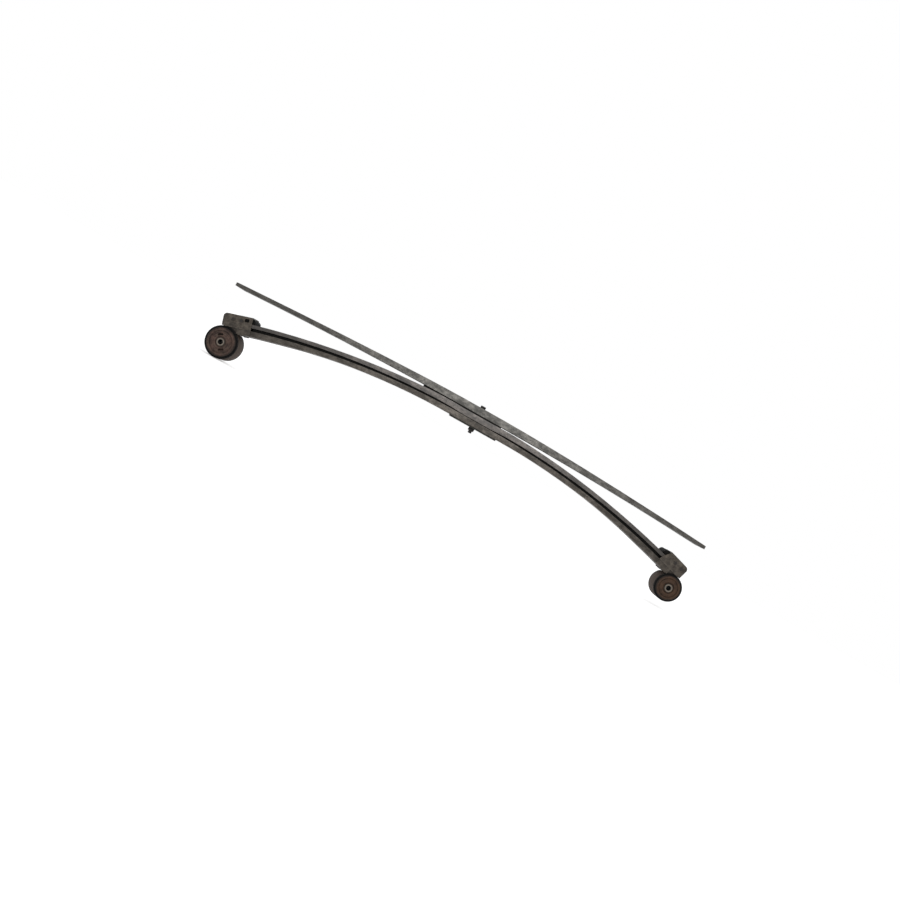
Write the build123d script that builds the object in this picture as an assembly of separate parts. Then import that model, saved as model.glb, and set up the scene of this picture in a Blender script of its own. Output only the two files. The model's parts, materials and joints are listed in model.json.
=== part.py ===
from build123d import *
import math
import os

os.makedirs("parts", exist_ok=True)

# Leaf spring, millimetres.
# X runs along the span (front eye at -X), Y along the eye axes, Z up.
# The origin is on the centre bolt's axis, on the top face of the overload leaf.
# The arch opens downwards: both eyes hang below the clamped middle of the stack.

# ---- leaves and stack -------------------------------------------------------
LEAF_WIDTH = 63.5
FLAT_HALF = 44.0
OVERLOAD_THICK = 18.6
OVERLOAD_FLAT_HALF = 60.0
OVERLOAD_FRONT_TIP = -720.0
OVERLOAD_REAR_TIP = 683.0
FRONT_TOP_RATE = 0.0025
FRONT_TOP_POWER = 1.43
REAR_TOP_RATE = 0.00092
REAR_TOP_POWER = 1.6
FRONT_UNDER_RATE = 0.000042
REAR_UNDER_RATE = 0.0000475
OVERLOAD_TIP_BEVEL = 14.0
OVERLOAD_TIP_THICK = 8.5
OVERLOAD_CORNER = 14.0
TOP_LINER_THICK = 4.0
TOP_LINER_FRONT = -164.0
TOP_LINER_REAR = 66.0
TOP_LINER_INSET = 5.0
TOP_LINER_SEAT_FRONT = -74.0
SECOND_THICK = 15.0
SECOND_TIP_THICK = 9.2
SECOND_TAPER_END = 520.0
SECOND_TAPER_POWER = 1.5
LINER_THICK = 1.5
GAP_STEP = 2.8
GAP_STEP_LENGTH = 35.0
GAP_RATE = 0.0072
LINER_AIR = 0.4
LINER_INSET = 6.0
LINER_SEAT_INSET = 0.6
MAIN_THICK = 14.5
MAIN_THINNING = ((0.15, 1.3), (0.35, 2.5), (0.55, 2.9), (0.70, 1.4))
MAIN_FULL_AGAIN = 0.82
SEAT_HALF = 69.0
SEAT_THICK = 4.0

# ---- eyes -------------------------------------------------------------------
FRONT_EYE_X = -677.0
FRONT_EYE_Z = -182.6
FRONT_EYE_R = 44.0
REAR_EYE_X = 646.5
REAR_EYE_Z = -169.0
REAR_EYE_R = 37.0
ROLL_SLIT = 1.2
ROLL_TIP_TRIM = 14.0

# ---- eye bushings -----------------------------------------------------------
SHELL_WALL = 2.5
SHELL_CLEAR = 0.1
FRONT_FLANGE_R = 38.4
REAR_FLANGE_R = 32.5
FLANGE_IN = LEAF_WIDTH / 2 + 0.35
FLANGE_OUT = 37.2
FLANGE_EDGE = 1.8
SLEEVE_R = 11.0
SLEEVE_BORE_R = 6.1
SLEEVE_HALF = 39.5
SLEEVE_CLEAR = 0.05
GROOVE_DEPTH = 1.8
VOID_R = 3.0
VOID_DEPTH = 9.0
VOID_RING_R = 20.0
VOID_ANGLE = 29.0
VOID_SPREAD = 12.0

# ---- tip clips --------------------------------------------------------------
SHEET = 3.0
CLIP_SIDE_CLEAR = 0.4
CLIP_ROUND = 6.0
CLIP_END_ROUND = 10.0
FRONT_CLIP_START = -8.0
FRONT_CLIP_LENGTH = 78.0
FRONT_ROOF = 34.2
FRONT_SKIRT_START = 34.0
FRONT_BUMP = 7.5
REAR_CLIP_START = -3.5
REAR_CLIP_LENGTH = 73.5
REAR_ROOF = 35.0
REAR_END_SLANT = 12.0
REAR_SKIRT_START = 30.5
REAR_BUMP = 5.0
SKIRT_SHEET = 1.8
SECOND_TIP_INSET = 8.0
HEM_OUT = 1.2
HEM_HIGH = 2.2
FOOT_START = 5.0
FOOT_LENGTH = 13.0
FOOT_THICK = 1.2
FOOT_REACH = 9.0
WINDOW_LENGTH = 12.0
WINDOW_HIGH = 9.5
WINDOW_INSET = 8.0
BUMP_ROUND = 9.0
RIVET_R = 2.6
RIVET_HEAD_R = 4.4
RIVET_HEAD_HIGH = 1.8
RIVET_UP = 20.6
FRONT_RIVETS = (20.0, 42.0)
REAR_RIVETS = (12.5, 34.5)

# ---- centre bolt ------------------------------------------------------------
BOLT_R = 4.95
BOLT_HOLE_R = 5.3
HEAD_R = 7.25
HEAD_HIGH = 7.2
NUT_ACROSS_FLATS = 16.0
NUT_HIGH = 12.0
SEAT_HOLE_R = 12.5
NUT_BORE_R = 5.0
THREAD_END = 6.5

HALF = LEAF_WIDTH / 2
Z_OVER_UNDER = -OVERLOAD_THICK
Z_SECOND_TOP = Z_OVER_UNDER - TOP_LINER_THICK
Z_SECOND_UNDER = Z_SECOND_TOP - SECOND_THICK
Z_MAIN_TOP = Z_SECOND_UNDER - LINER_THICK
Z_MAIN_UNDER = Z_MAIN_TOP - MAIN_THICK
Z_SEAT_UNDER = Z_MAIN_UNDER - SEAT_THICK


class Side:
    """One half of the main leaf: a circular arc that leaves the flat seat and meets its eye's outside."""

    def __init__(self, sign, eye_x, eye_z, eye_r):
        self.sign = sign
        self.eye_x = eye_x
        self.eye_z = eye_z
        self.eye_r = eye_r
        reach = abs(eye_x) - FLAT_HALF
        drop = Z_MAIN_TOP - eye_z - eye_r
        self.angle = 2 * math.atan2(drop, reach)
        self.radius = reach / math.sin(self.angle) + eye_r

    def point(self, angle, lower=0.0):
        """The point on the main leaf's top arc at this angle, or that far below it, square to it."""
        r = self.radius - lower
        x = FLAT_HALF + r * math.sin(angle)
        z = Z_MAIN_TOP - self.radius + r * math.cos(angle)
        return Vector(self.sign * x, 0, z)

    def back_from_eye(self, distance):
        """The arc's angle this far inboard of where the leaf meets its eye."""
        return self.angle - distance / self.radius

    def x_at(self, distance):
        """How far from the bolt, along X, the arc is at this distance inboard of the eye's tangent point."""
        return abs(self.point(self.back_from_eye(distance)).X)

    def top(self, x):
        """Height of the main leaf's top at a distance x from the bolt."""
        a = max(0.0, x - FLAT_HALF)
        return Z_MAIN_TOP - self.radius + math.sqrt(self.radius**2 - a**2)

    def slope(self, x):
        return math.asin(max(0.0, x - FLAT_HALF) / self.radius)

    def gap(self, x):
        """Vertical gap between the main leaf and the second leaf."""
        a = max(0.0, x - FLAT_HALF)
        return LINER_THICK + GAP_STEP * (1 - math.exp(-a / GAP_STEP_LENGTH)) + GAP_RATE * a

    def second_thick(self, x):
        a = min(1.0, max(0.0, x - FLAT_HALF) / (SECOND_TAPER_END - FLAT_HALF))
        thinning = (SECOND_THICK - SECOND_TIP_THICK) * (1 - a) ** SECOND_TAPER_POWER
        return (SECOND_TIP_THICK + thinning) / math.cos(self.slope(x))

    def second_under(self, x):
        return self.top(x) + self.gap(x)

    def second_top(self, x):
        return self.second_under(x) + self.second_thick(x)

    def place(self, shape, distance):
        """Move a shape built with +X inboard and Z=0 on the main leaf to this distance from the eye."""
        a = self.back_from_eye(distance)
        if self.sign > 0:
            shape = mirror(shape, about=Plane.YZ)
        return Location(self.point(a)) * Rot(0, self.sign * math.degrees(a), 0) * shape


FRONT = Side(-1, FRONT_EYE_X, FRONT_EYE_Z, FRONT_EYE_R)
REAR = Side(1, REAR_EYE_X, REAR_EYE_Z, REAR_EYE_R)


def prism(edges, half=HALF):
    """Extrude a closed outline of edges in the XZ plane to both sides of Y=0."""
    face = Face(Wire(edges))
    return extrude(face, amount=half, dir=(0, 1, 0), both=True)


def line(a, b):
    return Edge.make_line(Vector(a[0], 0, a[1]), Vector(b[0], 0, b[1]))


def spline(points):
    return Edge.make_spline([Vector(x, 0, z) for x, z in points])


def rod(r, y0, y1, x=0.0, z=0.0):
    """A cylinder along Y."""
    return Location((x, (y0 + y1) / 2, z)) * Rot(90, 0, 0) * Cylinder(r, y1 - y0)


def upright(r, z0, z1):
    """A cylinder along Z on the bolt's axis."""
    return Pos(0, 0, (z0 + z1) / 2) * Cylinder(r, z1 - z0)


def block(x0, x1, y0, y1, z0, z1):
    return Pos((x0 + x1) / 2, (y0 + y1) / 2, (z0 + z1) / 2) * Box(x1 - x0, y1 - y0, z1 - z0)


def stations(start, stop, count):
    """Distances from start to stop, closer together near the start."""
    return [start + (stop - start) * (i / (count - 1)) ** 1.4 for i in range(count)]


def save(shape, node):
    export_step(shape, f"parts/{node}.step")


BOLT_HOLE = upright(BOLT_HOLE_R, -80, 10)


# ---- main leaf with its two rolled eyes -------------------------------------
def arc_edge(side, lower, start=0.0):
    """The arc from this part of the side's angle to its end, the leaf's top or that far below it."""
    mid = (start + 1) / 2
    return Edge.make_three_point_arc(
        side.point(side.angle * start, lower),
        side.point(side.angle * mid, lower),
        side.point(side.angle, lower),
    )


def thinned_edge(side):
    """The underside between the seat and the eye's own thickness, where the leaf is rolled thinner."""
    stops = [(0.0, 0.0)] + list(MAIN_THINNING) + [(MAIN_FULL_AGAIN, 0.0)]
    points = [side.point(side.angle * f, MAIN_THICK - thin) for f, thin in stops]
    a = side.angle * MAIN_FULL_AGAIN
    tangents = [Vector(side.sign, 0, 0), Vector(side.sign * math.cos(a), 0, -math.sin(a))]
    return Edge.make_spline(points, tangents=tangents)


def end_edge(side):
    return Edge.make_line(side.point(side.angle), side.point(side.angle, MAIN_THICK))


def rolled_eye(side):
    """The ring that the leaf's end is rolled into, open by a slit where its tip meets the leaf's underside."""
    ring = rod(side.eye_r, -HALF, HALF) - rod(side.eye_r - MAIN_THICK, -HALF - 1, HALF + 1)
    bore_r = side.eye_r - MAIN_THICK
    slit = block(0, side.eye_r + 5, -HALF - 1, HALF + 1, bore_r - ROLL_SLIT, side.eye_r + 5)
    trim = block(0, ROLL_TIP_TRIM, -HALF - 1, HALF + 1, bore_r - 4, side.eye_r + 5)
    ring = ring - slit - trim
    if side.sign > 0:
        ring = mirror(ring, about=Plane.YZ)
    turn = Rot(0, side.sign * math.degrees(side.angle), 0)
    return Location((side.eye_x, 0, side.eye_z)) * turn * ring


strip = prism(
    [
        line((-FLAT_HALF, Z_MAIN_TOP), (FLAT_HALF, Z_MAIN_TOP)),
        arc_edge(REAR, 0),
        end_edge(REAR),
        arc_edge(REAR, MAIN_THICK, MAIN_FULL_AGAIN),
        thinned_edge(REAR),
        line((FLAT_HALF, Z_MAIN_UNDER), (-FLAT_HALF, Z_MAIN_UNDER)),
        thinned_edge(FRONT),
        arc_edge(FRONT, MAIN_THICK, MAIN_FULL_AGAIN),
        end_edge(FRONT),
        arc_edge(FRONT, 0),
    ]
)
main_leaf = strip + rolled_eye(FRONT) + rolled_eye(REAR) - BOLT_HOLE
save(main_leaf, "main_leaf")


# ---- second leaf ------------------------------------------------------------
def leaf_outline(
    front_x, rear_x, top_front, top_rear, under_front, under_rear, flat=FLAT_HALF, count=9
):
    """A leaf with a flat middle and a tapering, curving half on each side."""
    fronts = stations(flat, front_x, count)
    rears = stations(flat, rear_x, count)
    top_f = [(-x, top_front(x)) for x in fronts]
    top_r = [(x, top_rear(x)) for x in rears]
    under_f = [(-x, under_front(x)) for x in fronts]
    under_r = [(x, under_rear(x)) for x in rears]
    return [
        line(top_f[0], top_r[0]),
        spline(top_r),
        line(top_r[-1], under_r[-1]),
        spline(under_r[::-1]),
        line(under_r[0], under_f[0]),
        spline(under_f),
        line(under_f[-1], top_f[-1]),
        spline(top_f[::-1]),
    ]


second_leaf = prism(
    leaf_outline(
        FRONT.x_at(SECOND_TIP_INSET),
        REAR.x_at(SECOND_TIP_INSET),
        FRONT.second_top,
        REAR.second_top,
        FRONT.second_under,
        REAR.second_under,
    )
)
save(second_leaf - BOLT_HOLE, "second_leaf")


# ---- liner that fills the gap between the two leaves, between the clips -----
def liner_end(side, clip_start, clip_length):
    return side.x_at(clip_start + clip_length + 1.5)


def liner_side_edges(side, end):
    """Top spline, tip and underside arc of one half of the liner, from the flat outwards and back."""
    xs = stations(FLAT_HALF, end, 8)
    air = [LINER_AIR * min(1.0, i / 2) for i in range(8)]
    s = side.sign
    top = [(s * x, side.second_under(x) - a) for x, a in zip(xs, air)]
    angle = math.asin((end - FLAT_HALF) / side.radius)
    tip = side.point(angle)
    under = Edge.make_three_point_arc(tip, side.point(angle / 2), side.point(0))
    return [spline(top), line(top[-1], (tip.X, tip.Z)), under]


front_liner = liner_side_edges(FRONT, liner_end(FRONT, FRONT_CLIP_START, FRONT_CLIP_LENGTH))
rear_liner = liner_side_edges(REAR, liner_end(REAR, REAR_CLIP_START, REAR_CLIP_LENGTH))
interleaf_liner = prism(
    [line((-FLAT_HALF, Z_SECOND_UNDER), (FLAT_HALF, Z_SECOND_UNDER))]
    + rear_liner
    + [line((FLAT_HALF, Z_MAIN_TOP), (-FLAT_HALF, Z_MAIN_TOP))]
    + front_liner,
    HALF - LINER_INSET,
)
seat_y = HALF - LINER_SEAT_INSET
interleaf_liner += block(-FLAT_HALF, FLAT_HALF, -seat_y, seat_y, Z_MAIN_TOP, Z_SECOND_UNDER)
save(interleaf_liner - BOLT_HOLE, "interleaf_liner")


# ---- overload leaf ----------------------------------------------------------
def front_top(x):
    return -FRONT_TOP_RATE * max(0.0, x - OVERLOAD_FLAT_HALF) ** FRONT_TOP_POWER


def rear_top(x):
    return -REAR_TOP_RATE * max(0.0, x - OVERLOAD_FLAT_HALF) ** REAR_TOP_POWER


def front_under(x):
    return Z_OVER_UNDER - FRONT_UNDER_RATE * max(0.0, x - OVERLOAD_FLAT_HALF) ** 2


def rear_under(x):
    return Z_OVER_UNDER - REAR_UNDER_RATE * max(0.0, x - OVERLOAD_FLAT_HALF) ** 2


def overload_tip_cut(tip, top, under):
    """Bevel under one tip, so that it thins to its end."""
    x = abs(tip)
    s = math.copysign(1, tip)
    start = (s * (x - OVERLOAD_TIP_BEVEL), under(x - OVERLOAD_TIP_BEVEL))
    end = (s * (x + 1), top(x) - OVERLOAD_TIP_THICK)
    low = (s * (x + 1), end[1] - 30)
    return prism([line(start, end), line(end, low), line(low, start)], HALF + 1)


overload_leaf = prism(
    leaf_outline(
        -OVERLOAD_FRONT_TIP,
        OVERLOAD_REAR_TIP,
        front_top,
        rear_top,
        front_under,
        rear_under,
        flat=OVERLOAD_FLAT_HALF,
    )
)
tips = overload_leaf.edges().filter_by(Axis.Z)
tips = [e for e in tips if abs(e.center().X) > 600]
overload_leaf = fillet(tips, OVERLOAD_CORNER)
overload_leaf -= overload_tip_cut(OVERLOAD_FRONT_TIP, front_top, front_under)
overload_leaf -= overload_tip_cut(OVERLOAD_REAR_TIP, rear_top, rear_under)
save(overload_leaf - BOLT_HOLE, "overload_leaf")

# ---- liner between the overload leaf and the second leaf ---------------------
liner_xs = stations(OVERLOAD_FLAT_HALF, -TOP_LINER_FRONT, 5)
low_xs = [FLAT_HALF] + liner_xs
top_liner = prism(
    [
        line((-OVERLOAD_FLAT_HALF, Z_OVER_UNDER), (TOP_LINER_REAR, Z_OVER_UNDER)),
        line((TOP_LINER_REAR, Z_OVER_UNDER), (TOP_LINER_REAR, Z_SECOND_TOP)),
        line((TOP_LINER_REAR, Z_SECOND_TOP), (-FLAT_HALF, Z_SECOND_TOP)),
        spline([(-x, FRONT.second_top(x) + 0.08 * min(1, i)) for i, x in enumerate(low_xs)]),
        line(
            (-liner_xs[-1], FRONT.second_top(liner_xs[-1]) + 0.08),
            (-liner_xs[-1], front_under(liner_xs[-1]) - 0.08),
        ),
        spline(
            [
                (-x, front_under(x) - 0.08 * min(1, i))
                for i, x in reversed(list(enumerate(liner_xs)))
            ]
        ),
    ],
    HALF - TOP_LINER_INSET,
)
top_liner += block(
    TOP_LINER_SEAT_FRONT,
    TOP_LINER_REAR,
    LINER_SEAT_INSET - HALF,
    HALF - LINER_SEAT_INSET,
    Z_SECOND_TOP - 1,
    Z_OVER_UNDER,
)
save(top_liner - BOLT_HOLE - second_leaf - overload_leaf, "overload_liner")

# ---- spring seat plate, with a hole that clears the nut ----------------------
seat_plate = block(-SEAT_HALF, SEAT_HALF, -HALF, HALF, Z_SEAT_UNDER, Z_MAIN_UNDER)
seat_plate = fillet(seat_plate.edges().filter_by(Axis.Z), 6)
save(seat_plate - upright(SEAT_HOLE_R, -80, 10) - main_leaf, "seat_plate")

# ---- centre bolt and nut -----------------------------------------------------
Z_NUT_UNDER = Z_MAIN_UNDER - NUT_HIGH
head = upright(HEAD_R, 0, HEAD_HIGH)
head = chamfer(head.edges().group_by(Axis.Z)[-1], 1.0)
shank = upright(BOLT_R, Z_NUT_UNDER - THREAD_END, 0)
shank = chamfer(shank.edges().group_by(Axis.Z)[0], 1.2)
save(head + shank, "centre_bolt")

hexagon = RegularPolygon(NUT_ACROSS_FLATS / 2, 6, major_radius=False, rotation=30)
nut = Pos(0, 0, Z_NUT_UNDER) * extrude(hexagon, NUT_HIGH)
cone_r = NUT_ACROSS_FLATS / 2
nut_round = Pos(0, 0, Z_NUT_UNDER + NUT_HIGH / 2) * Cylinder(cone_r * 1.14, NUT_HIGH)
nut = nut & chamfer(nut_round.edges().group_by(Axis.Z)[0], 0.9)
save(nut - upright(NUT_BORE_R, -90, 0), "centre_nut")


# ---- one eye bushing ---------------------------------------------------------
def bushing(side, flange_r, name, voided):
    outer = side.eye_r - MAIN_THICK - SHELL_CLEAR
    inner = outer - SHELL_WALL
    at = Location((side.eye_x, 0, side.eye_z))
    shell = rod(outer, -HALF, HALF) - rod(inner, -HALF - 1, HALF + 1)
    save(at * shell, f"{name}_bushing_shell")

    rubber = rod(inner, -FLANGE_IN, FLANGE_IN)
    for s in (-1, 1):
        disc = rod(flange_r, *sorted((s * FLANGE_IN, s * FLANGE_OUT)))
        rim = disc.edges().filter_by(GeomType.CIRCLE).sort_by(Axis.Y)[-1 if s > 0 else 0]
        rubber += chamfer(rim, FLANGE_EDGE)
        y0, y1 = sorted((s * (FLANGE_OUT - GROOVE_DEPTH), s * (FLANGE_OUT + 1)))
        rubber -= rod(flange_r * 0.78, y0, y1) - rod(flange_r * 0.70, y0, y1)
        rubber -= rod(SLEEVE_R + 3.2, y0, y1)
        if voided:
            y0, y1 = sorted((s * (FLANGE_OUT - VOID_DEPTH), s * (FLANGE_OUT + 1)))
            for turn in (0, 180):
                for across in (-VOID_SPREAD, 0, VOID_SPREAD):
                    a = math.radians(VOID_ANGLE + turn + across)
                    rubber -= rod(
                        VOID_R, y0, y1, -VOID_RING_R * math.sin(a), VOID_RING_R * math.cos(a)
                    )
    rubber -= rod(SLEEVE_R + SLEEVE_CLEAR, -50, 50)
    save(at * rubber, f"{name}_bushing_rubber")

    sleeve = rod(SLEEVE_R, -SLEEVE_HALF, SLEEVE_HALF)
    sleeve = chamfer(sleeve.edges().filter_by(GeomType.CIRCLE), 0.6)
    sleeve -= rod(SLEEVE_BORE_R, -SLEEVE_HALF - 1, SLEEVE_HALF + 1)
    save(at * sleeve, f"{name}_inner_sleeve")


bushing(FRONT, FRONT_FLANGE_R, "front", True)
bushing(REAR, REAR_FLANGE_R, "rear", False)


# ---- one tip clip with its block, pad and rivets -----------------------------
def rounded_box(x0, x1, half, z0, z1, end_round, edge_round):
    """A box whose outer top corner is rounded in side view, then all round its two side faces' rims."""
    box = block(x0, x1, -half, half, z0, z1)
    corner = box.edges().filter_by(Axis.Y).group_by(Axis.X)[0].sort_by(Axis.Z)[-1]
    box = fillet(corner, end_round)
    rims = []
    for face in (box.faces().sort_by(Axis.Y)[0], box.faces().sort_by(Axis.Y)[-1]):
        for edge in face.edges():
            c = edge.center()
            if c.X < x1 - 0.1 and c.Z > z0 + 0.1:
                rims.append(edge)
    return fillet(rims, edge_round)


def tip_clip(side, start, length, roof, skirt_start, rivet_at, bump, slant, windowed, name):
    mid = start + length / 2
    x0 = -length / 2
    x1 = length / 2
    x_mid = side.x_at(mid)
    leaf_under = side.gap(x_mid) * math.cos(side.slope(x_mid))
    leaf_top = leaf_under + SECOND_TIP_THICK
    inside = HALF + CLIP_SIDE_CLEAR
    outside = inside + SHEET

    cap = rounded_box(x0, x1, outside, 0.3, roof, CLIP_END_ROUND, CLIP_ROUND)
    inner_round = CLIP_END_ROUND - SHEET
    cap -= rounded_box(
        x0 + SHEET, x1 + 5, inside, -5, roof - SHEET, inner_round, CLIP_ROUND - SHEET
    )
    cap -= block(x0 - 5, x0 + SHEET + 1, -inside + 0.2, inside - 0.2, -5, 1.0)
    low = -MAIN_THICK
    skirt_x0 = skirt_start - mid
    for s in (-1, 1):
        y0, y1 = sorted((s * (outside - 0.5), s * (outside + HEM_OUT)))
        cap += block(x0 + CLIP_ROUND + 2, x1 - 1, y0, y1, -0.6, HEM_HIGH - 0.6)
        # a skirt that covers the main leaf's edge, with one thin foot turned in under the leaf
        y0, y1 = sorted((s * (inside + 0.2), s * (inside + SKIRT_SHEET)))
        cap += block(skirt_x0, x1 - 0.5, y0, y1, low, 2)
        foot_x0 = skirt_x0 + FOOT_START
        cap += block(foot_x0, foot_x0 + FOOT_LENGTH, y0, y1, low - 0.6 - FOOT_THICK, low + 1)
        y0, y1 = sorted((s * (HALF - FOOT_REACH), s * (inside + SKIRT_SHEET - 0.4)))
        foot_x1 = foot_x0 + FOOT_LENGTH - 0.3
        cap += block(foot_x0 + 0.3, foot_x1, y0, y1, low - 0.5 - FOOT_THICK, low - 0.5)
    if slant:
        # the inboard end leans, so that the roof is shorter than the side plates
        foot = (x1 + 0.5, leaf_under)
        head = (x1 - slant, roof + 1)
        far = (x1 + 5, roof + 1)
        low_far = (x1 + 5, leaf_under)
        wedge = [line(foot, head), line(head, far), line(far, low_far), line(low_far, foot)]
        cap -= prism(wedge, 60)
    if windowed:
        # an oblong window near the inboard end, through both side plates
        z = (leaf_top + 0.8 + roof - SHEET - 1.5) / 2
        x = x1 - WINDOW_INSET - WINDOW_LENGTH / 2
        window = block(x - WINDOW_LENGTH / 2, x + WINDOW_LENGTH / 2, -50, 50, 0, WINDOW_HIGH)
        window = fillet(window.edges().filter_by(Axis.Y), 3.0)
        cap -= Pos(0, 0, z - WINDOW_HIGH / 2) * window

    rivet_xs = [d - mid for d in rivet_at]
    rivets = []
    for x in rivet_xs:
        cap -= rod(RIVET_R + 0.1, -50, 50, x, RIVET_UP)
        pin = rod(RIVET_R, -outside - 1, outside + 1, x, RIVET_UP)
        for s in (-1, 1):
            y0, y1 = sorted((s * outside, s * (outside + RIVET_HEAD_HIGH)))
            button = rod(RIVET_HEAD_R, y0, y1, x, RIVET_UP)
            rim = button.edges().group_by(Axis.Y)[-1 if s > 0 else 0]
            pin += fillet(rim, 1.2)
        rivets.append(pin)
    save(side.place(cap, mid), f"{name}_tip_clip")
    save(Compound(children=[side.place(p, mid) for p in rivets]), f"{name}_clip_rivets")

    top = roof - SHEET - 0.4
    bumper = block(x0 + SHEET + 8, x1 + bump, -inside + 1, inside - 1, leaf_top + 0.6, top)
    nose = bumper.edges().filter_by(Axis.Y).group_by(Axis.X)[-1].sort_by(Axis.Z)[-1]
    bumper = fillet(nose, BUMP_ROUND)
    rims = [e for e in bumper.edges() if abs(e.center().Y) > inside - 1.1]
    rims = [e for e in rims if e.center().Z > leaf_top + 1 and e.center().X > x0 + SHEET + 8.1]
    bumper = fillet([e for e in rims if e.center().Z > top - 8], 2.5)
    for x in rivet_xs:
        bumper -= rod(RIVET_R + 0.1, -50, 50, x, RIVET_UP)
    save(side.place(bumper, mid), f"{name}_clip_block")

    pad = block(x0 + SHEET + 8, x1 - 1, -HALF + 1, HALF - 1, 0.4, leaf_under - 0.9)
    save(side.place(pad, mid), f"{name}_tip_pad")


tip_clip(
    FRONT,
    FRONT_CLIP_START,
    FRONT_CLIP_LENGTH,
    FRONT_ROOF,
    FRONT_SKIRT_START,
    FRONT_RIVETS,
    FRONT_BUMP,
    0,
    True,
    "front",
)
tip_clip(
    REAR,
    REAR_CLIP_START,
    REAR_CLIP_LENGTH,
    REAR_ROOF,
    REAR_SKIRT_START,
    REAR_RIVETS,
    REAR_BUMP,
    REAR_END_SLANT,
    False,
    "rear",
)
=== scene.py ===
import json
import math

import bmesh
import bpy
from mathutils import Matrix, Vector


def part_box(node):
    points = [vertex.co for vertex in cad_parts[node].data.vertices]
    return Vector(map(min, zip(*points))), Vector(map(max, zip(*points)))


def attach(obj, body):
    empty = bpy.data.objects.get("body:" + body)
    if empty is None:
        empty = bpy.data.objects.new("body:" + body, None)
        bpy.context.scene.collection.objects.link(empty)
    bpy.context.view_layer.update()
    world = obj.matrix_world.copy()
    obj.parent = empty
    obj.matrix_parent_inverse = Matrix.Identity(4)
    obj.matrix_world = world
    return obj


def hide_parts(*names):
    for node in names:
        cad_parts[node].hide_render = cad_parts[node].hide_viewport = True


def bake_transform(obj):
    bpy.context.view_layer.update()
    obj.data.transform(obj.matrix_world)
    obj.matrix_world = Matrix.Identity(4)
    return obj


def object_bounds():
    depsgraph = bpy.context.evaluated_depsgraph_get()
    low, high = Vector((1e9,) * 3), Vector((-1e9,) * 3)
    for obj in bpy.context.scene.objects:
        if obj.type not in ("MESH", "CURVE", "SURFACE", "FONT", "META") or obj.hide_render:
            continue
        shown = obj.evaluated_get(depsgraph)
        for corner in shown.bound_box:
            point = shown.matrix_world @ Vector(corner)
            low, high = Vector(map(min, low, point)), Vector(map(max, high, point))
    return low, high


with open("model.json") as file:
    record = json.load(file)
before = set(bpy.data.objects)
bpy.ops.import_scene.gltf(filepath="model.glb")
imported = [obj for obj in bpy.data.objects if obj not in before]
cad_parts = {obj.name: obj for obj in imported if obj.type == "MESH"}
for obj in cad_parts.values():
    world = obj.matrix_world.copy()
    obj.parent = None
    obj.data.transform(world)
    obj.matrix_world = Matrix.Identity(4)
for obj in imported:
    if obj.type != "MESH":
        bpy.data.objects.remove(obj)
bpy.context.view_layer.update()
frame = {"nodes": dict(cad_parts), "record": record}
RECORD = frame["record"]
NODE_BODY = {n: b for b, ns in RECORD["behaviour"]["bodies"].items() for n in ns}
NODE_SLOT = {s["node"]: s["material_slot"] for s in RECORD["subparts"]}
MM = 0.001

# Painted shade, darker towards the leaves' ends, starts and is full at these distances from the middle,
# and its edge wanders along the span.
END_SHADE_START = 0.16
END_SHADE_FULL = 0.62
END_SHADE_WANDER = 0.12
# The turn of the rounded normal that counts as a full edge, and the samples that find it.
EDGE_SPREAD = 0.35
EDGE_SAMPLES = 6


# ---- node helpers -----------------------------------------------------------
def socket(node, name):
    """An input by name: a Mix node has one of each name for every data type, so the enabled one."""
    found = [s for s in node.inputs if s.name == name and s.enabled]
    return found[0] if found else node.inputs[name]


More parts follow.
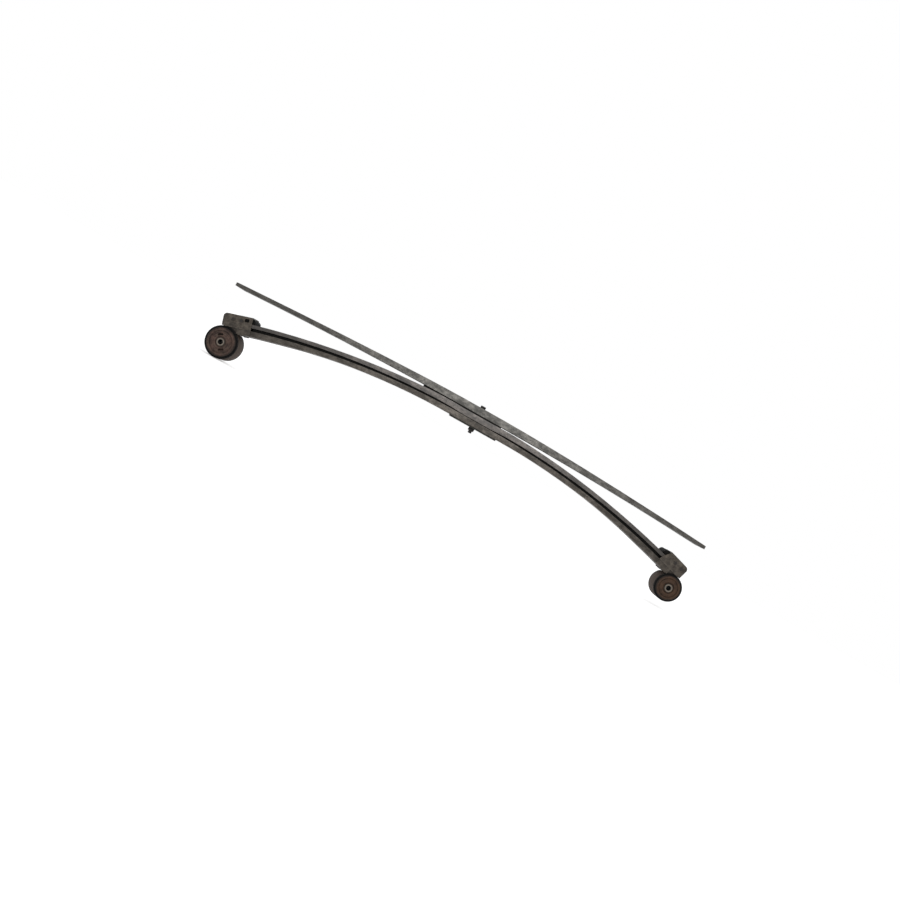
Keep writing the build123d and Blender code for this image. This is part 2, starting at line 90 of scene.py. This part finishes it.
class Nodes:
    """A small builder for one material's node tree."""

    def __init__(self, name):
        self.material = bpy.data.materials.new(name)
        self.material.use_nodes = True
        self.tree = self.material.node_tree
        self.tree.nodes.clear()
        out = self.tree.nodes.new("ShaderNodeOutputMaterial")
        self.shader = self.tree.nodes.new("ShaderNodeBsdfPrincipled")
        self.link(self.shader.outputs[0], out.inputs["Surface"])
        self.coords = self.tree.nodes.new("ShaderNodeTexCoord").outputs["Object"]

    def link(self, a, b):
        self.tree.links.new(a, b)

    def feed(self, target, value):
        if isinstance(value, bpy.types.NodeSocket):
            self.link(value, target)
        else:
            target.default_value = value

    def scaled(self, scale):
        """The object coordinates, stretched along the axes whose factor is below 1."""
        n = self.tree.nodes.new("ShaderNodeMapping")
        n.inputs["Scale"].default_value = scale
        self.link(self.coords, n.inputs["Vector"])
        return n.outputs[0]

    def noise(self, scale, detail=4.0, rough=0.55, vector=None):
        n = self.tree.nodes.new("ShaderNodeTexNoise")
        n.inputs["Scale"].default_value = scale
        n.inputs["Detail"].default_value = detail
        n.inputs["Roughness"].default_value = rough
        self.link(vector or self.coords, n.inputs["Vector"])
        return n.outputs["Fac"]

    def ramp(self, value, stops):
        """stops: (position, grey) pairs."""
        n = self.tree.nodes.new("ShaderNodeValToRGB")
        for item, (at, grey) in zip(n.color_ramp.elements, stops, strict=True):
            item.position = at
            item.color = (grey, grey, grey, 1)
        self.link(value, n.inputs["Fac"])
        return n.outputs["Color"]

    def mix(self, fac, a, b):
        n = self.tree.nodes.new("ShaderNodeMix")
        n.data_type = "RGBA"
        for name, v in (("Factor", fac), ("A", a), ("B", b)):
            self.feed(socket(n, name), (*v, 1) if isinstance(v, tuple) else v)
        return [o for o in n.outputs if o.enabled][0]

    def math(self, op, a, b=0.0):
        n = self.tree.nodes.new("ShaderNodeMath")
        n.operation = op
        self.feed(n.inputs[0], a)
        self.feed(n.inputs[1], b)
        return n.outputs[0]

    def vector_math(self, op, a, b=None):
        n = self.tree.nodes.new("ShaderNodeVectorMath")
        n.operation = op
        self.feed(n.inputs[0], a)
        if b is not None:
            self.feed(n.inputs[1], b)
        return n.outputs

    def distance_along(self, letter):
        """Distance from the origin along one axis, on either side."""
        n = self.tree.nodes.new("ShaderNodeSeparateXYZ")
        self.link(self.coords, n.inputs[0])
        return self.math("ABSOLUTE", n.outputs[letter])

    def bump(self, height, distance, strength, normal=None):
        n = self.tree.nodes.new("ShaderNodeBump")
        n.inputs["Distance"].default_value = distance
        n.inputs["Strength"].default_value = strength
        self.link(height, n.inputs["Height"])
        if normal is not None:
            self.link(normal, n.inputs["Normal"])
        return n.outputs[0]

    def edges(self, radius):
        """Near 1 at a sharp edge, where the rounded normal leaves the true one, and 0 away from it."""
        b = self.tree.nodes.new("ShaderNodeBevel")
        b.samples = EDGE_SAMPLES
        b.inputs["Radius"].default_value = radius
        g = self.tree.nodes.new("ShaderNodeNewGeometry")
        same = self.vector_math("DOT_PRODUCT", b.outputs[0], g.outputs["Normal"])["Value"]
        away = self.math("SUBTRACT", 1.0, same)
        return self.ramp(away, [(0.0, 0.0), (EDGE_SPREAD, 1.0)])

    def from_middle(self):
        """0 at the clamped middle and 1 towards the ends, by distance along the span."""
        wander = self.math("MULTIPLY", self.noise(7.0, 3.0), END_SHADE_WANDER)
        away = self.math("ADD", self.distance_along("X"), wander)
        return self.band(away, END_SHADE_START + END_SHADE_WANDER / 2, END_SHADE_FULL + END_SHADE_WANDER / 2)

    def from_axis(self, centre):
        """Distance from the line through this point along Y."""
        shift = self.vector_math("SUBTRACT", self.coords, centre)["Vector"]
        flat = self.vector_math("MULTIPLY", shift, (1, 0, 1))["Vector"]
        return self.vector_math("LENGTH", flat)["Value"]

    def band(self, value, low, high):
        """0 below low, 1 above high, and a straight rise between them."""
        m = self.tree.nodes.new("ShaderNodeMapRange")
        m.inputs["From Min"].default_value = low
        m.inputs["From Max"].default_value = high
        self.link(value, m.inputs["Value"])
        return m.outputs["Result"]

    def done(self, colour, rough, normal=None, metallic=0.0, **fixed):
        self.feed(self.shader.inputs["Base Color"], colour)
        self.feed(self.shader.inputs["Roughness"], rough)
        self.shader.inputs["Metallic"].default_value = metallic
        if normal is not None:
            self.link(normal, self.shader.inputs["Normal"])
        for name, value in fixed.items():
            self.shader.inputs[name.replace("_", " ")].default_value = value
        return self.material


# ---- materials --------------------------------------------------------------
def eye_mount(end):
    return next(m for m in RECORD["mounts"] if m["name"] == f"{end}_eye_bore")


def eye_centre(end):
    return tuple(eye_mount(end)["pos_m"])


def eye_radius(end):
    """From the bushing's axis to the outer end of the main leaf, which is the rolled eye's outside."""
    low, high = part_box("main_leaf")
    return eye_centre(end)[0] - low.x if end == "front" else high.x - eye_centre(end)[0]


def flange_radius(end):
    low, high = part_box(f"{end}_bushing_rubber")
    return (high.x - low.x) / 2


# Painted shade towards the leaves' ends.
END_SHADE = (0.014, 0.011, 0.008)
BARE_EDGE = (0.26, 0.24, 0.21)
# Painted shade: brown on the eyes' barrels, nearly black at their rims.
BARREL_SHADE = (0.052, 0.036, 0.028)
BARREL_RIM_SHADE = (0.003, 0.003, 0.003)
BARREL_DULL = (0.72, 0.72, 0.72)

# Patches are drawn out along the leaf, and a worn edge is this wide.
STREAKS = (0.55, 1.0, 1.0)
WORN_WIDTH = 1.6 * MM
# The painted dark shade at a barrel's rim starts and is full at these distances in from the leaf's edge.
RIM_SHADE_START = 4.75 * MM
RIM_SHADE_FULL = 2.75 * MM
RIM_SHADE_WANDER = 3.0 * MM
# The barrel's painted shade and dullness hold to just past the eye's outside and fade out over the next
# millimetres.
BARREL_FULL = 0.5 * MM
BARREL_FADE = 4.0 * MM


def coated_steel(
    name, dark, light, stain, gloss=0.46, wear=0.5, end_shade=0.8, coat=0.2, shine=0.35, eyes=False
):
    """Rolled spring steel, mottled with scale and worn on its edges.

    coat is the weight of the thin coating over it, and the argument after wear weighs the painted shade
    that darkens it towards the leaf's ends.
    eyes makes the rolled eyes' barrels dull, and gives them brown painted shade with nearly black painted
    shade at their rims.
    """
    n = Nodes(name)
    along = n.scaled(STREAKS)
    patches = n.noise(52.0, 6.0, 0.72, along)
    mottle = n.noise(170.0, 6.0, 0.7, along)
    fine = n.noise(900.0, 3.0, 0.7)
    colour = n.mix(n.ramp(patches, [(0.40, 0.0), (0.62, 1.0)]), dark, light)
    colour = n.mix(n.ramp(mottle, [(0.45, 0.0), (0.68, 0.9)]), colour, stain)
    speck = n.ramp(n.noise(420.0, 2.0, 0.5), [(0.58, 0.0), (0.70, 0.6)])
    colour = n.mix(speck, colour, tuple(c * 0.4 for c in dark))
    # Painted shade: darker towards the leaf's ends.
    colour = n.mix(n.math("MULTIPLY", n.from_middle(), end_shade), colour, END_SHADE)
    dull = 0.0
    if eyes:
        # Painted shade: nearly black bands at the barrels' rims, in from the leaf's edges.
        side = n.math("ADD", n.distance_along("Y"), n.math("MULTIPLY", mottle, RIM_SHADE_WANDER))
        half_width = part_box("main_leaf")[1].y
        rim = n.band(side, half_width - RIM_SHADE_START, half_width - RIM_SHADE_FULL)
        for end in ("front", "rear"):
            away = n.from_axis(eye_centre(end))
            radius = eye_radius(end)
            barrel = n.math("SUBTRACT", 1.0, n.band(away, radius + BARREL_FULL, radius + BARREL_FADE))
            # Painted shade: the barrel darkened to brown.
            painted_shade = n.math("MULTIPLY", barrel, n.ramp(mottle, [(0.30, 0.95), (0.75, 0.55)]))
            colour = n.mix(painted_shade, colour, BARREL_SHADE)
            # Painted shade at the barrel's rims.
            colour = n.mix(n.math("MULTIPLY", barrel, rim), colour, BARREL_RIM_SHADE)
            dull = n.math("MAXIMUM", barrel, dull)
    worn = n.math("MULTIPLY", n.edges(WORN_WIDTH), n.ramp(n.noise(160.0, 4.0), [(0.4, 0.0), (0.62, 1.0)]))
    colour = n.mix(n.math("MULTIPLY", worn, wear), colour, BARE_EDGE)
    rough = n.ramp(mottle, [(0.3, gloss - 0.07), (0.75, gloss + 0.16)])
    if eyes:
        rough = n.mix(dull, rough, BARREL_DULL)
    normal = n.bump(n.noise(220.0, 5.0, 0.6, along), 0.3 * MM, 0.7)
    normal = n.bump(fine, 0.05 * MM, 0.6, normal)
    return n.done(
        colour, rough, normal, metallic=0.1, Coat_Weight=coat, Coat_Roughness=0.3, Specular_IOR_Level=shine
    )


SCUFFED_EDGE = (0.17, 0.15, 0.12)
SCUFFED_WIDTH = 1.4 * MM


def pressed_sheet(name, dark, light, rust):
    """Brown-grey pressed sheet: dusty, scuffed on its edges, stained where water has dried."""
    n = Nodes(name)
    patches = n.noise(58.0, 5.0, 0.7)
    mottle = n.noise(190.0, 5.0, 0.65)
    colour = n.mix(n.ramp(patches, [(0.38, 0.0), (0.62, 1.0)]), dark, light)
    colour = n.mix(n.ramp(mottle, [(0.48, 0.0), (0.70, 0.8)]), colour, rust)
    patchy = n.ramp(n.noise(200.0, 4.0), [(0.42, 0.0), (0.6, 0.8)])
    worn = n.math("MULTIPLY", n.edges(SCUFFED_WIDTH), patchy)
    colour = n.mix(worn, colour, SCUFFED_EDGE)
    normal = n.bump(mottle, 0.12 * MM, 0.7)
    normal = n.bump(n.noise(1100.0, 2.0), 0.04 * MM, 0.5, normal)
    return n.done(
        colour,
        n.ramp(mottle, [(0.3, 0.48), (0.75, 0.70)]),
        normal,
        metallic=0.1,
        Coat_Weight=0.12,
        Coat_Roughness=0.25,
        Specular_IOR_Level=0.3,
    )


RING_PITCH = 5.2 * MM
RING_DEPTH = 0.16 * MM
# Painted shade darkens the flange between these distances in from its edge, by this much, to this colour.
FLANGE_START = 3.5 * MM
FLANGE_FULL = 0.8 * MM
FLANGE_SHADE_AMOUNT = 0.85
FLANGE_EDGE_SHADE = (0.006, 0.005, 0.004)


def moulded_rubber(name, dark, light, dust, centre=None, edge=0.0, shine=0.08):
    """Moulded rubber or plastic with a dusty bloom and fine pores.

    A flange's centre gives it mould rings, and edge is its radius, near which painted shade makes it
    nearly black.
    """
    n = Nodes(name)
    patches = n.noise(60.0, 5.0, 0.7)
    pores = n.noise(850.0, 3.0, 0.6)
    colour = n.mix(n.ramp(patches, [(0.40, 0.0), (0.62, 1.0)]), dark, light)
    colour = n.mix(n.ramp(n.noise(150.0, 5.0, 0.7), [(0.48, 0.0), (0.72, 0.65)]), colour, dust)
    normal = n.bump(pores, 0.06 * MM, 0.7)
    if centre is not None:
        away = n.from_axis(centre)
        rings = n.math("SINE", n.math("MULTIPLY", away, 2 * math.pi / RING_PITCH))
        normal = n.bump(rings, RING_DEPTH, 0.5, normal)
        colour = n.mix(n.ramp(rings, [(0.0, 0.0), (1.0, 0.35)]), colour, dust)
        # Painted shade: nearly black near the flange's edge.
        rim = n.band(away, edge - FLANGE_START, edge - FLANGE_FULL)
        colour = n.mix(n.math("MULTIPLY", rim, FLANGE_SHADE_AMOUNT), colour, FLANGE_EDGE_SHADE)
    return n.done(colour, n.ramp(patches, [(0.3, 0.62), (0.7, 0.8)]), normal, Specular_IOR_Level=shine)


# Painted shade inside bores and on the end faces' outer edges.
BORE_SHADE = (0.002, 0.002, 0.002)
CORNER_SHADE = (0.010, 0.008, 0.006)
# How far outside a bore its painted shade is still full and has ended, and where the painted shade on the
# end face's outer edge starts and is full.
BORE_FULL = 0.2 * MM
BORE_FADE = 1.6 * MM
CORNER_START = 3.2 * MM
CORNER_FULL = 4.4 * MM
# Tool marks are drawn out along Y, the axis of the eyes.
TOOL_MARKS = (1.0, 0.15, 1.0)


def turned_steel(name, base, stain, rough=0.36, metallic=0.85, bore=None):
    """Bare turned steel with faint tool marks and dull spots.

    A bore given as (centre, radius) gets painted shade inside, and so does the outer edge of the face
    round it.
    """
    n = Nodes(name)
    mottle = n.noise(180.0, 5.0, 0.6)
    colour = n.mix(n.ramp(mottle, [(0.42, 0.0), (0.7, 0.8)]), base, stain)
    if bore is not None:
        centre, radius = bore
        away = n.from_axis(centre)
        # Painted shade: nearly black inside the bore, and dark on the outer edge of the end face.
        painted_shade = n.math("SUBTRACT", 1.0, n.band(away, radius + BORE_FULL, radius + BORE_FADE))
        colour = n.mix(painted_shade, colour, BORE_SHADE)
        corner = n.band(away, radius + CORNER_START, radius + CORNER_FULL)
        colour = n.mix(corner, colour, CORNER_SHADE)
    lines = n.noise(1600.0, 2.0, 0.5, n.scaled(TOOL_MARKS))
    normal = n.bump(lines, 0.04 * MM, 0.5)
    gloss = n.ramp(mottle, [(0.3, rough - 0.06), (0.7, rough + 0.14)])
    return n.done(colour, gloss, normal, metallic=metallic)


BLACK_PART = ((0.002, 0.002, 0.002), (0.004, 0.004, 0.0035), (0.008, 0.007, 0.006))
MATERIALS = {
    "spring_steel": coated_steel(
        "spring_steel",
        (0.046, 0.040, 0.034),
        (0.120, 0.106, 0.092),
        (0.034, 0.032, 0.029),
        end_shade=0.45,
        coat=0.0,
        shine=0.12,
        eyes=True,
    ),
    "spring_steel_light": coated_steel(
        "spring_steel_light", (0.046, 0.041, 0.037), (0.125, 0.110, 0.100), (0.030, 0.028, 0.027), end_shade=0.6
    ),
    "overload_steel": coated_steel(
        "overload_steel",
        (0.046, 0.043, 0.038),
        (0.160, 0.152, 0.138),
        (0.034, 0.035, 0.033),
        end_shade=0.6,
        coat=0.06,
        gloss=0.58,
    ),
    "liner_plastic": moulded_rubber("liner_plastic", *BLACK_PART),
    "liner_rubber": moulded_rubber("liner_rubber", *BLACK_PART),
    "plate_steel": coated_steel(
        "plate_steel",
        (0.010, 0.010, 0.008),
        (0.026, 0.025, 0.021),
        (0.014, 0.013, 0.011),
        wear=0.2,
        end_shade=0.0,
        coat=0.0,
        shine=0.1,
    ),
    "bolt_steel": turned_steel("bolt_steel", (0.025, 0.024, 0.023), (0.012, 0.011, 0.011), 0.42),
    "shell_steel": turned_steel("shell_steel", (0.16, 0.15, 0.145), (0.08, 0.07, 0.06)),
    "clip_steel": pressed_sheet(
        "clip_steel", (0.016, 0.012, 0.008), (0.066, 0.054, 0.041), (0.020, 0.012, 0.007)
    ),
    "block_rubber": moulded_rubber("block_rubber", *BLACK_PART),
    "pad_plastic": moulded_rubber("pad_plastic", *BLACK_PART),
    "rivet_steel": pressed_sheet(
        "rivet_steel", (0.008, 0.006, 0.005), (0.016, 0.012, 0.009), (0.012, 0.008, 0.005)
    ),
}
RUBBERS = {
    "front": moulded_rubber(
        "front_bushing_rubber_look",
        (0.016, 0.008, 0.006),
        (0.060, 0.034, 0.026),
        (0.080, 0.060, 0.046),
        centre=eye_centre("front"),
        edge=flange_radius("front"),
        shine=0.2,
    ),
    "rear": moulded_rubber(
        "rear_bushing_rubber_look",
        (0.016, 0.008, 0.004),
        (0.042, 0.022, 0.012),
        (0.060, 0.034, 0.020),
        centre=eye_centre("rear"),
        edge=flange_radius("rear"),
        shine=0.2,
    ),
}
SLEEVES = {
    end: turned_steel(
        f"{end}_sleeve_look",
        (0.13, 0.105, 0.080),
        (0.06, 0.046, 0.033),
        0.55,
        metallic=0.1,
        bore=(eye_centre(end), eye_mount(end)["dims"]["r_mm"] * MM),
    )
    for end in ("front", "rear")
}


def material_for(node):
    end = node.split("_")[0]
    if node.endswith("inner_sleeve"):
        return SLEEVES[end]
    if node.endswith("bushing_rubber"):
        return RUBBERS[end]
    return MATERIALS[NODE_SLOT[node]]


# ---- pieces from the CAD nodes ----------------------------------------------
# Degrees between faces: below FLAT they are one flat face, above SMOOTH the shading breaks, and above
# SHARP the edge gets a rounding of so many steps.
FLAT_ANGLE = 0.04
SMOOTH_ANGLE = 30.0
SHARP_ANGLE = 32.0
ROUND_STEPS = 3
# Points nearer than this are welded.
WELD = 0.002 * MM
# The length of one slice of a bending leaf.
SLICE = 0.02
CUT_TOLERANCE = 1e-7

# The rounding of each piece's edges, in millimetres.
BENDING = {"main_leaf": 1.6, "second_leaf": 1.4, "interleaf_liner": 0.4}
MIDDLE = {
    "overload_leaf": 1.6,
    "overload_liner": 0.4,
    "seat_plate": 0.8,
    "centre_bolt": 0.5,
    "centre_nut": 0.5,
}
AT_EACH_END = {
    "bushing_shell": 0.4,
    "bushing_rubber": 0.8,
    "inner_sleeve": 0.4,
    "tip_clip": 0.6,
    "clip_block": 0.8,
    "tip_pad": 0.5,
    "clip_rivets": 0.3,
}


def cad_copy(node):
    """A welded bmesh of a CAD node, with the flat faces' inner edges dissolved."""
    bm = bmesh.new()
    bm.from_mesh(frame["nodes"][node].data)
    bmesh.ops.remove_doubles(bm, verts=bm.verts, dist=WELD)
    bmesh.ops.dissolve_limit(
        bm,
        angle_limit=math.radians(FLAT_ANGLE),
        verts=bm.verts,
        edges=bm.edges,
        use_dissolve_boundaries=False,
    )
    return bm


def round_edges(bm, width):
    """Round every sharp edge, as on rolled, pressed and moulded parts."""
    sharp = math.radians(SHARP_ANGLE)
    found = [e for e in bm.edges if len(e.link_faces) == 2 and e.calc_face_angle(0) > sharp]
    bmesh.ops.bevel(
        bm,
        geom=found,
        offset=width,
        offset_type="OFFSET",
        segments=ROUND_STEPS,
        profile=0.5,
        affect="EDGES",
        clamp_overlap=True,
    )


def add_object(name, data):
    obj = bpy.data.objects.new(name, data)
    bpy.context.scene.collection.objects.link(obj)
    return obj


def to_object(bm, name, material):
    mesh = bpy.data.meshes.new(name)
    bm.to_mesh(mesh)
    bm.free()
    mesh.materials.append(material)
    obj = add_object(name, mesh)
    mesh.polygons.foreach_set("use_smooth", [True] * len(mesh.polygons))
    mesh.set_sharp_from_angle(angle=math.radians(SMOOTH_ANGLE))
    return obj


def rounded_piece(node, width):
    bm = cad_copy(node)
    round_edges(bm, width)
    obj = to_object(bm, f"{node}_shape", material_for(node))
    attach(obj, NODE_BODY[node])
    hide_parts(node)


def cut_across(bm, x, normal, **sides):
    geom = bm.verts[:] + bm.edges[:] + bm.faces[:]
    return bmesh.ops.bisect_plane(
        bm, geom=geom, dist=CUT_TOLERANCE, plane_co=(x, 0, 0), plane_no=(normal, 0, 0), **sides
    )


def slices(bm):
    """Cut a long leaf across its length at even stations, so that it can bend smoothly."""
    xs = [v.co.x for v in bm.verts]
    start = min(xs)
    length = max(xs) - start
    count = int(length / SLICE)
    for i in range(1, count):
        cut_across(bm, start + length * i / count, 1)


def bending_leaf(node, width):
    """One leaf in two halves that meet at the clamped middle."""
    whole = cad_copy(node)
    round_edges(whole, width)
    slices(whole)
    for end, sign in (("front", -1), ("rear", 1)):
        bm = whole.copy()
        cut = cut_across(bm, 0, -sign, clear_outer=True)
        rim = [e for e in cut["geom_cut"] if isinstance(e, bmesh.types.BMEdge)]
        bmesh.ops.edgeloop_fill(bm, edges=rim)
        obj = to_object(bm, f"{node}_{end}_half", material_for(node))
        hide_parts(node)
        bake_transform(obj)
    whole.free()


for node, width in BENDING.items():
    bending_leaf(node, width * MM)
for node, width in MIDDLE.items():
    rounded_piece(node, width * MM)
for end in ("front", "rear"):
    for part, width in AT_EACH_END.items():
        rounded_piece(f"{end}_{part}", width * MM)

for name, obj in frame["nodes"].items():
    obj.data.materials.clear()
    obj.data.materials.append(material_for(name))


# ---- floor, light and camera ------------------------------------------------
FLOOR_SIZE = 40.0
FLOOR_GAP = 0.001
FLOOR_PAINT = (0.75, 0.75, 0.75)
FLOOR_SHADE = 0.985
FLOOR_ROUGH = 0.9
FLOOR_GLOW = 0.4
SKY_STRENGTH = 1.0
# Each light: name, place, what it looks at, size and power.
LIGHTS = (
    ("key", (0.02, -0.80, 0.42), (0, 0, -0.05), 0.6, 4.5),
    ("fill", (0.0, -2.2, 1.4), (0, 0, -0.1), 1.4, 5.0),
)
CLIP_START = 0.05
CLIP_END = 60.0


def pale_paint(name):
    """An almost even pale paint that glows a little, so that the floor is as bright as a studio sweep."""
    n = Nodes(name)
    shade = n.mix(n.noise(3.0, 3.0), tuple(c * FLOOR_SHADE for c in FLOOR_PAINT), FLOOR_PAINT)
    return n.done(shade, FLOOR_ROUGH, Emission_Color=(1, 1, 1, 1), Emission_Strength=FLOOR_GLOW)


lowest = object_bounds()[0].z
bpy.ops.mesh.primitive_plane_add(size=FLOOR_SIZE, location=(0, 0, lowest - FLOOR_GAP))
floor = bpy.context.object
floor.name = "floor"
floor.data.materials.append(pale_paint("floor_paint"))

world = bpy.data.worlds.new("studio")
bpy.context.scene.world = world
world.use_nodes = True
wt = world.node_tree
wt.nodes.clear()
w_out = wt.nodes.new("ShaderNodeOutputWorld")
w_back = wt.nodes.new("ShaderNodeBackground")
w_back.inputs["Color"].default_value = (1, 1, 1, 1)
w_back.inputs["Strength"].default_value = SKY_STRENGTH
wt.links.new(w_back.outputs[0], w_out.inputs["Surface"])


def area_light(name, at, target, size, power):
    data = bpy.data.lights.new(name, "AREA")
    data.shape = "SQUARE"
    data.size = size
    data.energy = power
    obj = add_object(name, data)
    obj.location = at
    obj.rotation_euler = (Vector(target) - Vector(at)).to_track_quat("-Z", "Y").to_euler()


for light in LIGHTS:
    area_light(*light)

# The camera looks almost squarely at the spring's side, rolled so that the rear end hangs lower.
CAMERA_DISTANCE = 2.276
CAMERA_X = -0.022
CAMERA_Z = -0.0818
ROLL = math.radians(29.4)
LENS = 34.6
SENSOR = 36.0
LOOK_RIGHT = math.radians(-0.66)
LOOK_UP = math.radians(-1.19)

across = Vector((math.cos(ROLL), 0, math.sin(ROLL)))
upward = Vector((-math.sin(ROLL), 0, math.cos(ROLL)))
ahead = (Vector((0, 1, 0)) + across * math.tan(LOOK_RIGHT) + upward * math.tan(LOOK_UP)).normalized()
across = (across - ahead * across.dot(ahead)).normalized()
upward = across.cross(ahead).normalized()
turn = Matrix((across, upward, -ahead)).transposed()
data = bpy.data.cameras.new("camera")
data.lens = LENS
data.sensor_width = SENSOR
data.clip_start = CLIP_START
data.clip_end = CLIP_END
camera = add_object("camera", data)
camera.matrix_world = Matrix.Translation((CAMERA_X, -CAMERA_DISTANCE, CAMERA_Z)) @ turn.to_4x4()
bpy.context.scene.camera = camera

bpy.context.scene.view_settings.view_transform = "Standard"
